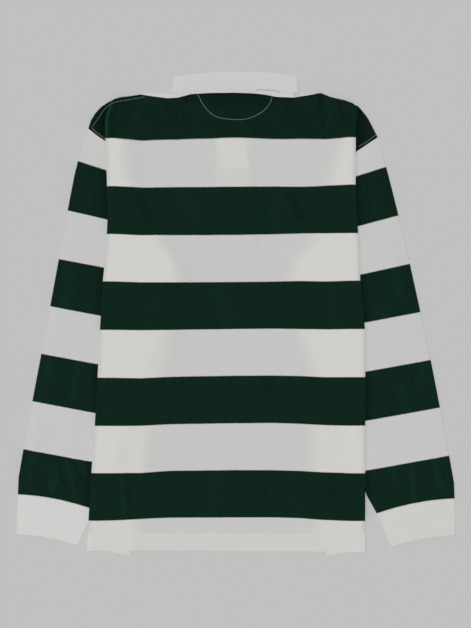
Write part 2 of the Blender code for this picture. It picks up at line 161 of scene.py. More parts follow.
RIGHT = [
    Side(333, 194.5, 184.5, 196, 184.5, 0),
    Side(325, 194.5, 183.5, 203, 183.5, 0),
    Side(315, 194, 181, 211, 181, 0),
    Side(303, 193, 179, 217.5, 179, 0),
    Side(283, 192.3, 177, 227.5, 177, 0),
    Side(272, 192.3, 175, 211, 175, 0),
    Side(260.5, 192.3, 172, 194, 172, 0),
    Side(233, 192.3, 166, 178, 166, 0),
    Side(207, 192, 158, 165, 158, 0),
    Side(165, 193.5, 144, 0, 144, 0),
    Side(112, 197.5, 130, 0, 130, 0),
    Side(84, 198.5, 104, 0, 104, 0),
    Side(54, 199.5, 94.5, 0, 94.5, 0),
    Side(-30, 207.5, 110.5, 0, 122, 0),
    Side(-100, 207.5, 133, 0, 145.5, 1),
    Side(-178, 207.5, 131.5, 0, 171.5, 2),
    Side(-254, 207.5, 132, 0, 196.5, 4),
    Side(-300, 207.5, 134, 0, 206, 5),
    Side(-335, 207.5, 136, 0, 232, 6),
    Side(-360, 207.5, 138, 0, 232, 7),
    Side(-380.5, 207.7, 139.5, 0, 232, 8),
]
# The layer beyond the fold ends at this row of the tables
LAST_THIRD = 8
TOP_EDGE = [
    (-206, 339), (-184, 346), (-152, 351), (-136, 348.5), (-109, 345), (-92, 346), (-72, 351.5),
    (-40, 353.4), (0, 353.8), (30, 352.6), (48, 350.6), (66, 347), (92, 346), (121, 350.5),
    (136, 353.8), (150, 348), (174, 341.5), (188, 336), (200, 330),
]
TOP_X, TOP_Y = np.array(TOP_EDGE).T
# The neck opening, which dips in front, and the closing's band and collar leaves below the body
NECK_HALF = 92
NECK_DEPTH = 78
NECK_FADE_END = 204
NECK_ROUNDNESS = 2.4
BAND_WIDTH = 35
BAND_TOP = 271
BAND_LENGTH = 154
LEAF_SPAN = (-156, 138)
LEAF_BOTTOM = 230
# How far the yoke's green reaches lower on the third layer, beside the armhole
THIRD_DROP = 26
# Widths over which the upper layers come free of what lies below: from the folds, hem and top edge
FREE_SIDE = 14
FREE_HEM = 20
FREE_TOP = 6
HEM_END = -380
# How far the raised place over the closing's band goes past it, and the slopes beside it
BAND_LIFT_SIDE = 6.5
BAND_LIFT_DOWN = 4
BAND_LIFT_UP = 34
BAND_SLOPE = 20
LEAF_SLOPE = 24
LEAF_FADE = 60
# Where two white layers lie on each other the upper one looks lighter. Shares of that: over the
# folded pair, over what lies below the pair, in the hem, and over the closing's band
OVER_FLAP = 0.85
OVER_LOWER = 0.15
OVER_HEM = 0.65
OVER_BAND_TOP = 0.85
OVER_BAND = 0.45
# Beside the left armhole the edge of the lighter white lies this much further out
LEFT_FLAP_SHIFT = 9
LEFT_FLAP_SPAN = (225, 300)
# Yoke: darker than the other hoops, painted shade below the collar, painted highlight on the left
# fold
YOKE_END = 270
YOKE_SHADE = 0.1
COLLAR_SHADE = 0.22
COLLAR_SHADE_HALF = 88
# The left fold's painted highlight, and the painted shade just inside it
RIM_PAINTED_HIGHLIGHT = 0.9
RIM_PAINTED_SHADE = 0.2
# Shade of the third layer, which lies below the side fold and comes into the light beside it
THIRD_SHADE = 0.42
THIRD_LIGHT = 0.4
THIRD_LIGHT_REACH = 26
# Painted light on creases: how much lighter a ridge's dyed yarn is made for each millimetre of its
# height, darker in a trough
BODY_RIDGE_PAINTED_LIGHT = 0.12
# How sharp the change of colour between two hoops is, and how far it wanders from stitch to stitch
EDGE_SHARPNESS = 22
EDGE_WANDER = 0.012
# Darkest and lightest of the dyed yarn, as shares of its colour
YARN_DARK = 0.8
YARN_LIGHT = 1.2
# y of each change of colour, from the yoke down, at the distances from the centre line in HOOP_X
HOOP_X = (-196.6, -151.8, -103.8, 3.4, 60, 104.2, 144, 184.2)
BODY_HOOPS = [
    (280.0, 276.6, 278.0, 281.2, 279.0, 279.4, 278.6, 281.4),
    (204.2, 202.2, 202.9, 203.4, 204.0, 203.5, 204.8, 206.6),
    (127.6, 125.6, 126.0, 126.2, 127.4, 128.6, 128.6, 129.0),
    (52.2, 50.6, 50.6, 51.3, 51.9, 52.7, 51.9, 53.3),
    (-25.4, -26.0, -25.5, -24.1, -23.6, -24.1, -24.6, -24.1),
    (-101.6, -102.4, -100.4, -98.6, -98.4, -99.1, -100.8, -100.6),
    (-178.6, -178.6, -176.5, -174.8, -174.4, -175.8, -177.6, -178.2),
    (-253.8, -253.9, -250.7, -249.6, -249.8, -250.9, -252.9, -254.0),
    (-329.9, -327.7, -325.9, -325.5, -325.4, -326.6, -329.2, -330.8),
]
HOOP_DEPTH = 76.2
# Soft creases of the upper layers, from end to end: half width across and height, less for a trough
Crease = namedtuple("Crease", "x y x_end y_end width height")
BODY_CREASES = [
    Crease(136, 352, 135, 318, 5, -2.0),
    Crease(163, 334, 175, 306, 5, -1.9),
    Crease(150, 346, 150, 300, 8, 1.3),
    Crease(185, 322, 185, 286, 6, 0.9),
    Crease(-118, 345, -70, 339, 6, -1.7),
    Crease(-132, 344, -160, 338, 7, 1.2),
    Crease(-60, 343, 62, 341, 9, -1.5),
    Crease(-115, 336, -77, 298, 9, -1.1),
    Crease(84, 328, 109, 298, 10, -1.1),
    Crease(-152, 186, -137, 144, 12, -1.2),
    Crease(84, 194, 109, 144, 12, -1.4),
    Crease(-90, 332, -30, 320, 12, 0.5),
    Crease(-181, -236, -179, -330, 8, 1.5),
    Crease(-168, -240, -170, -325, 8, -1.0),
    Crease(-196, -150, -186, -228, 10, 0.7),
    Crease(-150, 330, -172, 268, 12, 0.9),
    Crease(-120, 250, -60, 150, 22, 0.8),
    Crease(96, 262, 60, 140, 24, 0.7),
    Crease(150, 60, 166, -60, 16, 0.8),
    Crease(-30, 60, 10, -90, 26, 0.7),
    Crease(60, -40, 40, -190, 24, -0.6),
    Crease(-90, -60, -70, -210, 22, -0.6),
    Crease(-20, -190, -40, -330, 20, 0.7),
    Crease(84, -220, 96, -340, 16, 0.6),
    Crease(140, -100, 128, -176, 9, 0.6),
    Crease(158, -200, 152, -330, 14, -0.7),
    Crease(-120, 40, -150, -70, 18, 0.6),
]
BODY_LOFT = 1.6
# The hem is turned in, so the cloth rises a little over its inner edge
HEM_TOP = -352.5
HEM_RISE = 0.45
HEM_STEP = 3
SHARP_FOLD = math.radians(50)


def eased(value):
    """From 0 to 1 as the value goes from 0 to 1, with a soft start and end."""
    value = min(max(value, 0), 1)
    return value * value * (3 - 2 * value)


def plateau(value, low, high, ramp):
    """1 between low and high, and down to 0 over a ramp on both sides."""
    return eased((value - low + ramp) / ramp) * eased((high + ramp - value) / ramp)


def climb(distance, edge, ramp=RAMP, margin=EDGE_MARGIN):
    """From 0 towards the centre line to 1 where an edge below lifts the cloth fully."""
    return eased((distance - edge + margin + ramp) / ramp)


def crease_height(creases, x, y):
    """Sum of the soft troughs and ridges at a place in plan; they fade over a share of each end."""
    fading = 0.3
    total = 0
    for crease in creases:
        run_x, run_y = crease.x_end - crease.x, crease.y_end - crease.y
        length = math.hypot(run_x, run_y)
        share = ((x - crease.x) * run_x + (y - crease.y) * run_y) / length**2
        reach = crease.width / length
        if -reach < share < 1 + reach:
            gap = abs((x - crease.x) * run_y - (y - crease.y) * run_x) / length / crease.width
            fade = eased((share + reach) / fading) * eased((1 + reach - share) / fading)
            total += crease.height * eased(1 - gap) * fade
    return total


def at_level(sides, level):
    """The side's sizes at a level between two rows of its table."""
    numbers = np.arange(len(sides))
    return Side(*[float(np.interp(level, numbers, column)) for column in zip(*sides)])


def top_edge(x):
    """y of the body's upper edge: the neck seam in the middle, the shoulders beside it."""
    return float(np.interp(x, TOP_X, TOP_Y))


def scoop(x):
    """How much lower the front's neck seam lies than the back's."""
    share = abs(x) / NECK_HALF
    return NECK_DEPTH * (1 - share**NECK_ROUNDNESS) if share < 1 else 0


def band_lift(x, y):
    """Where the closing's band lifts the body, from 0 to 1."""
    half = BAND_WIDTH / 2 + BAND_LIFT_SIDE
    low, high = BAND_TOP - BAND_LENGTH - BAND_LIFT_DOWN, BAND_TOP + BAND_LIFT_UP
    return plateau(x, -half, half, BAND_SLOPE) * plateau(y, low, high, BAND_SLOPE)


def leaf_lift(x, y):
    """Where the collar's leaves lift the body, from 0 to 1."""
    return plateau(x, *LEAF_SPAN, LEAF_SLOPE) * eased((y - LEAF_BOTTOM + LEAF_FADE) / LEAF_FADE)


def body_hoop(x, y):
    """Hoop that a place lies in: whole numbers at the changes of colour, odd to even is white."""
    near = min(max(int(np.searchsorted(HOOP_X, x)), 1), len(HOOP_X) - 1)
    share = (x - HOOP_X[near - 1]) / (HOOP_X[near] - HOOP_X[near - 1])
    share = min(max(share, 0), 1)
    levels = [row[near - 1] + (row[near] - row[near - 1]) * share for row in BODY_HOOPS]
    return hoop_number(y, levels, 0)


def hoop_number(y, levels, first):
    """Number of the hoop that y lies in, with a share, from the levels where hoops change."""
    levels = [levels[0] + 2 * HOOP_DEPTH, *levels, levels[-1] - HOOP_DEPTH]
    for i in range(len(levels) - 1):
        if y > levels[i + 1] or i == len(levels) - 2:
            return first + i + (levels[i] - y) / (levels[i] - levels[i + 1])


def under_height(side, distance):
    """Height of the line between the folded pair's two layers."""
    return FAR + PAIR * climb(distance, side.lower)


def upper_height(side, distance, x, y):
    """Height of the line between front and back over all that lies below them."""
    band = band_lift(x, y)
    flap = PAIR * climb(distance, side.inner)
    stack = under_height(side, distance) + flap + LAYER * (max(leaf_lift(x, y), band) + band)
    free = eased((side.fold - distance) / FREE_SIDE) * eased((y - HEM_END) / FREE_HEM)
    free *= eased((top_edge(x) - y) / FREE_TOP)
    return stack + free * (BODY_LOFT + crease_height(BODY_CREASES, x, y))


def placket_backing(x, y):
    """How much the closing's band below shows through the white hoop: most in its upper part."""
    top, middle, bottom, slope = 276, 236, 204, 8
    fall = top - y
    bright = plateau(x, 0.3 * fall - 28, 0.2 * fall + 12, slope / 2)
    bright *= plateau(y, middle, top, slope)
    plain = plateau(x, -27, 16, slope) * plateau(y, bottom, top, slope)
    return max(OVER_BAND_TOP * bright, OVER_BAND * plain)


def yoke_painted_light(x, y, from_fold):
    """Yoke a little darker, with painted shade below the collar and a painted highlight on its left
    fold.
    """
    tone = 1 - YOKE_SHADE * eased((y - YOKE_END) / 20)
    below_collar = plateau(x, -COLLAR_SHADE_HALF, COLLAR_SHADE_HALF, 12)
    tone -= COLLAR_SHADE * below_collar * eased((y - top_edge(x) + 14) / 12)
    if x < 0:
        rim = RIM_PAINTED_HIGHLIGHT * plateau(from_fold, -2, 4, 3) - RIM_PAINTED_SHADE * plateau(from_fold, 9, 12, 4)
        tone += rim * plateau(y, 284, 336, 6)
    return tone


# How many cells each part of a side's section has, and the millimetres from one row to the next
Cells = namedtuple("Cells", "third fold flap upper row_step")


def section_point(side, sign, part, share):
    """Line between the two layers at a share of a part: (x, z, normal x, normal z, along)."""
    start = side.fold - FOLD_REACH
    third_end = side.inner + FOLD_REACH
    end = third_end if side.outer else side.inner
    if part == "side fold":
        angle = math.pi * (0.5 - share)
        out = FOLD * math.cos(angle)
        height = under_height(side, start) + FOLD + FOLD * math.sin(angle)
        along = start + share * 2 * FOLD
        return start + out, height, sign * math.cos(angle), math.sin(angle), along
    if part == "flap":
        distance = start + (end - start) * share
        return distance, under_height(side, distance), 0, -1, 2 * start - distance
    if part == "third fold":
        angle = math.pi * (0.5 - share)
        height = FAR + FOLD + FOLD * math.sin(angle)
        out = end - FOLD * math.cos(angle)
        return out, height, -sign * math.cos(angle), -math.sin(angle), 2 * start - end
    distance = end + (side.outer - end) * share
    return distance, FAR, 0, 1, 2 * start - 2 * end + distance


def body_columns(cells, sign):
    """Parts and shares of one side's columns, from the centre line outwards and round the folds."""
    columns = [("upper", i / cells.upper) for i in range(cells.upper)]
    for part, count in (
        ("side fold", cells.fold), ("flap", cells.flap), ("third fold", cells.fold),
        ("third", cells.third),
    ):
        columns += [(part, i / count) for i in range(count)]
    return [(sign, *column) for column in [*columns, ("third", 1)]]


def body_rows(step):
    """Level, left side and right side of each row from neck to hem, about a step apart."""
    levels = []
    for i in range(len(LEFT) - 1):
        count = max(1, round((LEFT[i].y - LEFT[i + 1].y) / step))
        levels += [i + j / count for j in range(count)]
    levels.append(len(LEFT) - 1)
    return [(level, at_level(LEFT, level), at_level(RIGHT, level)) for level in levels]


def body_place(column, row, outward, is_front):
    """Position, cloth coordinates, hoop, backing and tone (painted light and shade) of one point of
    a body panel.
    """
    sign, part, share = column
    level, left, right = row
    side = left if sign < 0 else right
    if part.startswith("third") and level > LAST_THIRD:
        return None
    if level > LAST_THIRD:
        side = side._replace(outer=0)
    if part == "upper":
        distance = (side.fold - FOLD_REACH) * share
        x = sign * distance
        across = min(max((x + left.fold) / (left.fold + right.fold), 0), 1)
        y = left.y + (right.y - left.y) * across
        if level < 1:
            below = LEFT[1].y + (RIGHT[1].y - LEFT[1].y) * across
            y = top_edge(x) + (below - top_edge(x)) * level
        if is_front:
            y -= scoop(x) * max(0, y - NECK_FADE_END) / (top_edge(x) - NECK_FADE_END)
        z = upper_height(side, distance, x, y)
        normal, along = (0, 1), distance
    else:
        distance, z, *normal, along = section_point(side, sign, part, share)
        x = sign * distance
        y = side.y - side.drop * (share**2 if part == "flap" else 0)
    backing, tone, hoop_y = 0, 1, y
    if part == "upper":
        flap = side.inner
        if x < 0:
            flap += LEFT_FLAP_SHIFT * plateau(y, *LEFT_FLAP_SPAN, 20)
        backing = OVER_FLAP * climb(distance, flap, ramp=28, margin=-6)
        backing += OVER_LOWER * climb(distance, side.lower, ramp=16, margin=-5)
        backing = max(backing, placket_backing(x, y))
        if y < HEM_TOP:
            z += HEM_RISE * eased((HEM_TOP - y) / HEM_STEP)
            backing = max(backing, OVER_HEM)
    elif y < HEM_TOP:
        backing = 1
    # The tone is painted light: highlights on ridges and the yoke's left fold, shade in troughs,
    # below the collar and on the third layer under the side fold
    if part in ("upper", "side fold"):
        tone = 1 + BODY_RIDGE_PAINTED_LIGHT * crease_height(BODY_CREASES, x, y)
        tone *= yoke_painted_light(x, y, side.fold - distance)
    elif part == "third":
        hoop_y += THIRD_DROP
        tone = THIRD_SHADE + THIRD_LIGHT * eased((distance - side.fold) / THIRD_LIGHT_REACH)
    place = Vector((x + normal[0] * outward, y, z + normal[1] * outward)) * MM
    return place, (sign * along * MM, y * MM), body_hoop(x, hoop_y), backing, tone


def lay_cloth(name, columns, rows, place, material, closed=False):
    """A sheet of cloth: a grid with a column and a row for each item, moved to its places."""
    bm = bmesh.new()
    last = len(columns) if closed else len(columns) - 1
    bmesh.ops.create_grid(bm, x_segments=last, y_segments=len(rows) - 1, size=1)
    uv_layer = bm.loops.layers.uv.new("cloth")
    hoop_layer = bm.verts.layers.float.new("hoop")
    backing_layer = bm.verts.layers.float.new("backing")
    tone_layer = bm.verts.layers.float.new("tone")
    empty = []
    cloth_uv = {}
    for vertex in bm.verts:
        column = round((vertex.co.x + 1) / 2 * last)
        row = round((1 - vertex.co.y) / 2 * (len(rows) - 1))
        made = place(columns[column % len(columns)], rows[row])
        if made is None:
            empty.append(vertex)
            continue
        vertex.co, uv, vertex[hoop_layer], vertex[backing_layer], vertex[tone_layer] = made
        cloth_uv[vertex.index] = uv if column < len(columns) else (uv[0] + closed, uv[1])
    bm.verts.index_update()
    for face in bm.faces:
        for loop in face.loops:
            loop[uv_layer].uv = cloth_uv.get(loop.vert.index, (0, 0))
    bmesh.ops.delete(bm, geom=empty, context="VERTS")
    if closed:
        bmesh.ops.remove_doubles(bm, verts=bm.verts, dist=0.01 * MM)
    bmesh.ops.recalc_face_normals(bm, faces=bm.faces)
    mesh = bpy.data.meshes.new(name)
    bm.to_mesh(mesh)
    bm.free()
    mesh.shade_smooth()
    mesh.materials.append(material)
    piece = bpy.data.objects.new(name, mesh)
    bpy.context.scene.collection.objects.link(piece)
    solidify = piece.modifiers.new("cloth_wall", "SOLIDIFY")
    solidify.thickness = WALL * MM
    solidify.offset = 0
    depsgraph = bpy.context.evaluated_depsgraph_get()
    walled = bpy.data.meshes.new_from_object(piece.evaluated_get(depsgraph))
    piece.modifiers.clear()
    piece.data = walled
    walled.set_sharp_from_angle(angle=SHARP_FOLD)
    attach(piece, "root")
    return piece


def add_node(material, kind, inputs, **settings):
    node = material.node_tree.nodes.new(kind)
    for name, value in settings.items():
        setattr(node, name, value)
    for key, value in inputs.items():
        if isinstance(value, bpy.types.NodeSocket):
            material.node_tree.links.new(value, node.inputs[key])
        else:
            node.inputs[key].default_value = value
    return node


def calculate(material, operation, first, second=0.0, clamp=False):
    inputs = {0: first, 1: second}
    return add_node(
        material, "ShaderNodeMath", inputs, operation=operation, use_clamp=clamp
    ).outputs[0]


def blend_colours(material, share, first, second, mode="MIX"):
    inputs = {0: share, 6: first, 7: second}
    node = add_node(material, "ShaderNodeMix", inputs, data_type="RGBA", blend_type=mode)
    return node.outputs[2]


# Noise lies mostly between these two values, which are stretched to the range that is asked for
NOISE_LOW = 0.3
NOISE_HIGH = 0.7


def speckle(material, size_mm, low, high):
    """Soft noise on the object, from low to high, with spots of about a size."""
    place = add_node(material, "ShaderNodeTexCoord", {}).outputs["Object"]
    noise = add_node(
        material, "ShaderNodeTexNoise", {"Vector": place, "Scale": 1 / (size_mm * MM), "Detail": 3}
    )
    inputs = {0: noise.outputs[0], 1: NOISE_LOW, 2: NOISE_HIGH, 3: low, 4: high}
    return add_node(material, "ShaderNodeMapRange", inputs).outputs[0]


def shade_of(colour, factor):
    return (*[channel * factor for channel in colour[:3]], 1)


def streaks(material):
    """From 0 to 1, in short uneven streaks along the wales, as dyed yarn has."""
    cloth = add_node(material, "ShaderNodeUVMap", {}, uv_map="cloth").outputs[0]
    across, down = 420, 80
    drawn = add_node(material, "ShaderNodeMapping", {"Vector": cloth, "Scale": (across, down, 1)})
    noise = add_node(
        material, "ShaderNodeTexNoise", {"Vector": drawn.outputs[0], "Scale": 1.0, "Detail": 3}
    )
    inputs = {0: noise.outputs[0], 1: NOISE_LOW, 2: NOISE_HIGH, 3: 0.0, 4: 1.0}
    return add_node(material, "ShaderNodeMapRange", inputs).outputs[0]


# Depth between two courses of stitches, as a share of the depth between two wales
COURSE_DEPTH = 0.35


def knit_height(material, wale_mm, course_mm):
    """Rows of small V shaped stitches along the cloth's own coordinates."""
    cloth = add_node(material, "ShaderNodeUVMap", {}, uv_map="cloth").outputs[0]
    split = add_node(material, "ShaderNodeSeparateXYZ", {0: cloth})
    wale = calculate(material, "MULTIPLY", split.outputs[0], 1 / (wale_mm * MM))
    course = calculate(material, "MULTIPLY", split.outputs[1], 1 / (course_mm * MM))
    leg = calculate(material, "PINGPONG", wale, 0.5)
    slant = calculate(material, "ADD", course, leg)
    turn = calculate(material, "SINE", calculate(material, "MULTIPLY", slant, 2 * math.pi))
    groove = calculate(material, "MULTIPLY", leg, 2.0)
    return calculate(material, "ADD", calculate(material, "MULTIPLY", turn, COURSE_DEPTH), groove)


def use_surface(material, shader, colour, height, depth_mm):
    """Sets the colour and a bump of the given height on a shader."""
    bump = add_node(material, "ShaderNodeBump", {"Height": height, "Distance": depth_mm * MM})
    material.node_tree.links.new(colour, shader.inputs["Base Color"])
    material.node_tree.links.new(bump.outputs[0], shader.inputs["Normal"])


def make_jersey(name, green, single_white, double_white):
    """Hooped jersey: colours change with the hoop, and white is lighter over another layer."""
    material, shader = new_material(name, roughness=0.92)
    hoop = add_node(material, "ShaderNodeAttribute", {}, attribute_name="hoop").outputs["Fac"]
    backing = add_node(material, "ShaderNodeAttribute", {}, attribute_name="backing").outputs["Fac"]
    wave = calculate(material, "SINE", calculate(material, "MULTIPLY", hoop, math.pi))
    edge = calculate(material, "ADD", wave, speckle(material, 1.6, -EDGE_WANDER, EDGE_WANDER))
    steep = calculate(material, "MULTIPLY", edge, -EDGE_SHARPNESS)
    is_white = calculate(material, "ADD", steep, 0.5, clamp=True)
    white = blend_colours(material, backing, single_white, double_white)
    dark, light = shade_of(green, YARN_DARK), shade_of(green, YARN_LIGHT)
    dyed = blend_colours(material, streaks(material), dark, light)
    # The tone attribute is painted light and shade, multiplied into the dyed yarn
    tone = add_node(material, "ShaderNodeAttribute", {}, attribute_name="tone").outputs["Fac"]
    grey = add_node(material, "ShaderNodeCombineColor", {0: tone, 1: tone, 2: tone}).outputs[0]
    toned = blend_colours(material, 1.0, dyed, grey, "MULTIPLY")
    colour = blend_colours(material, is_white, toned, white)
    shader.inputs["Sheen Weight"].default_value = 0.1
    shader.inputs["Sheen Roughness"].default_value = 0.35
    shader.inputs["Sheen Tint"].default_value = from_srgb(120, 190, 160)
    stitches = knit_height(material, wale_mm=1.25, course_mm=0.95)
    use_surface(material, shader, colour, stitches, depth_mm=0.12)
    return material


JERSEY = make_jersey(
    "green_and_white_jersey", green=from_srgb(13, 36.5, 26.5),
    single_white=from_srgb(197, 197, 195), double_white=from_srgb(208, 207, 204),
)
BACK_CELLS = Cells(third=6, fold=5, flap=14, upper=56, row_step=3.6)
FRONT_CELLS = Cells(third=3, fold=4, flap=8, upper=34, row_step=6)
for name, is_front, outward, cells in (
    ("back", False, MIDDLE, BACK_CELLS), ("front", True, -MIDDLE, FRONT_CELLS)
):
    columns = body_columns(cells, -1)[:0:-1] + body_columns(cells, 1)
    panel = lay_cloth(
        name + "_panel", columns, body_rows(cells.row_step),
        lambda column, row: body_place(column, row, outward, is_front), JERSEY,
    )
    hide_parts(name)
    if is_front:
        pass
    else:
        back_panel = panel

# The sleeves: long tubes of the same hooped jersey, set in at the armhole and lying flat under the
# body's folded sides. Each is cut in one piece with a seam along the underarm.
# x, y: outer edge; underarm: share of the way from armpit to cuff; bend: how much of the armhole's
# bend the line across the sleeve still has
Cut = namedtuple("Cut", "x y underarm bend")
SLEEVE_LEFT = [
    Cut(243, 277.5, 0.06, 0.85), Cut(250, 254, 0.12, 0.7), Cut(257.5, 224, 0.19, 0.5),
    Cut(264.5, 188, 0.27, 0.35), Cut(275, 131, 0.37, 0.2), Cut(286.5, 68, 0.47, 0.1),
    Cut(297.5, 8, 0.57, 0), Cut(309, -54, 0.66, 0), Cut(320.5, -114, 0.75, 0),
    Cut(331.5, -173, 0.84, 0), Cut(341.5, -227, 0.92, 0), Cut(347.5, -262, 0.97, 0),
    Cut(348.5, -288.5, 1, 0),
]
SLEEVE_RIGHT = [
    Cut(235.5, 258, 0.06, 0.85), Cut(243, 229, 0.12, 0.7), Cut(251, 198, 0.19, 0.5),
    Cut(261, 158, 0.27, 0.35), Cut(273.5, 106, 0.37, 0.2), Cut(287, 45, 0.47, 0.1),
    Cut(299.5, -12, 0.57, 0), Cut(311.5, -68, 0.66, 0), Cut(322.5, -124, 0.75, 0),
    Cut(333.5, -180, 0.84, 0), Cut(343.5, -234, 0.92, 0), Cut(350, -270, 0.97, 0),
    Cut(351, -295, 1, 0),
]
UNDERARM_LEFT = ((96, 54), (226, -313))
UNDERARM_RIGHT = ((94.5, 54), (207, -285), (226, -319))
# Rows of the body's tables: the armhole's first, the first that lies below the body, and its pit
SEAM_START = 4
SEAM_UNDER = 9
PIT = 12
# Changes of colour, first white to green: y at a distance from the centre line, and the slope there
Band = namedtuple("Band", "distance y slope")
BANDS_LEFT = [
    Band(231.8, 237.9, 0.33), Band(239.8, 159.0, 0.235), Band(247.8, 81.4, 0.19),
    Band(263.8, 6.1, 0.19), Band(263.8, -72.2, 0.187), Band(279.8, -148.2, 0.19),
    Band(279.8, -227.2, 0.185),
]
BANDS_RIGHT = [
    Band(216.2, 227.5, 0.32), Band(216.2, 145.6, 0.27), Band(232.2, 70.1, 0.22),
    Band(248.2, -6.1, 0.19), Band(248.2, -85.0, 0.18), Band(248.2, -164.0, 0.18),
    Band(264.2, -240.5, 0.18),
]
CREASES_LEFT = [
    Crease(288, -238, 284, -276, 6, 1.4),
    Crease(262, -232, 239, -278, 4, -2.0),
    Crease(256, -234, 246, -262, 3, 1.4),
    Crease(272, -238, 256, -290, 5, 1.8),
    Crease(283, -246, 274, -274, 4, -1.8),
    Crease(300, -250, 288, -286, 8, 1.6),
    Crease(264, -160, 266, -196, 8, 1.4),
    Crease(257, -192, 259, -232, 8, 1.6),
    Crease(318, -200, 330, -270, 10, 1.2),
    Crease(243, 240, 236, 120, 14, 1.3),
    Crease(262, 110, 270, 0, 16, 1.5),
    Crease(284, 20, 300, -100, 15, 1.3),
    Crease(246, -40, 262, -150, 12, 1.2),
    Crease(300, -90, 322, -190, 12, 1.0),
]
CREASES_RIGHT = [
    Crease(226, 200, 232, 90, 12, 1.3),
    Crease(250, 130, 262, 20, 15, 1.3),
    Crease(232, 20, 250, -90, 14, 1.4),
    Crease(285, -10, 303, -130, 14, 1.2),
    Crease(262, -110, 284, -210, 13, 1.3),
    Crease(240, -180, 256, -270, 10, 1.6),
    Crease(308, -190, 330, -290, 11, 1.5),
    Crease(282, -240, 286, -300, 8, 1.8),
]
ROWS_PER_CUT = 12
FLAT_CELLS = 44
FOLD_CELLS = 5
# The upper layer stands a little high where it is free: beside the body's fold (in millimetres),
# past the armhole seam and before the cuff (in cuts), and inside the sleeve's edges (in shares)
SLEEVE_LOFT = 1.6
FREE_BESIDE = 10
FREE_AFTER_SEAM = 0.6
FREE_BEFORE_CUFF = 0.5
FREE_EDGE = 0.1
# How far the cuff's seam bows down in the middle, the cuts over which the sleeve takes up that bow,
# and how much of it each of the cuff's own rings loses
CUFF_BOW = 5
BOW_CUTS = 3
BOW_LOSS = 0.8
# Tone of the dyed hoops: darker towards the shoulder, painted shadow beside the body's fold,
# painted highlight on ridges
SHOULDER_SHADE = 0.1
SHOULDER_SHADE_SPAN = (-60, 200)
FOLD_SHADE = 0.3
FOLD_SHADE_WIDTH = 14
SLEEVE_RIDGE_PAINTED_LIGHT = 0.16


def travelled_along(points):
    """Distance from the first point to each point of a path."""
    return np.concatenate([[0], np.cumsum(np.linalg.norm(np.diff(points, axis=0), axis=1))])


def along(points, share):
    """The point at a share of a path's length."""
    points = np.array(points, float)
    travelled = travelled_along(points)
    return np.array([np.interp(share * travelled[-1], travelled, points[:, i]) for i in (0, 1)])


def armhole(sides):
    """Line of the armhole seam in plan, from the shoulder to the armpit, moved out by the gap."""
    line = [(side.outer, side.y) for side in sides[SEAM_START:SEAM_UNDER]]
    line += [(side.inner, side.y) for side in sides[SEAM_UNDER:PIT + 1]]
    line = np.array(line, float)
    steps = np.gradient(line, axis=0)
    normals = np.stack([-steps[:, 1], steps[:, 0]], axis=1)
    normals /= np.linalg.norm(normals, axis=1)[:, None]
    return line - normals * SEAM_GAP * np.sign(normals[:, 1:])


def sleeve_hoop(bands, distance, y):
    return hoop_number(y, [b.y + b.slope * (distance - b.distance) for b in bands], 1)


def tube_columns(flat_cells, fold_cells):
    """Parts and shares round a flattened tube: its upper layer, inner fold, lower, outer fold."""
    ring = []
    for part, count in (
        ("upper", flat_cells), ("inner fold", fold_cells), ("lower", flat_cells),
        ("outer fold", fold_cells),
    ):
        ring += [(part, i / count) for i in range(count)]
    return ring


def tube_point(column, line_at, sign, lift):
    """A point of a flattened tube; line_at gives its place in plan at a share from outer edge."""
    part, share = column
    width = np.linalg.norm(line_at(1) - line_at(0))
    inset = FAR / width
    if part in ("upper", "lower"):
        across = share if part == "upper" else 1 - share
        across = inset + (1 - 2 * inset) * across
        x, y = line_at(across)
        height = FAR + MIDDLE + lift(x, y, across) if part == "upper" else FAR - MIDDLE
        girth = across if part == "upper" else 2 - across
    else:
        is_inner = part == "inner fold"
        across = 1 - inset if is_inner else inset
        girth = across if is_inner else 2 - across
        angle = math.pi * (0.5 - share)
        out = MIDDLE * math.cos(angle) / width
        x, y = line_at(across + out if is_inner else across - out)
        height = FAR + MIDDLE * math.sin(angle if is_inner else -angle)
    return (sign * x, y, height), girth * width


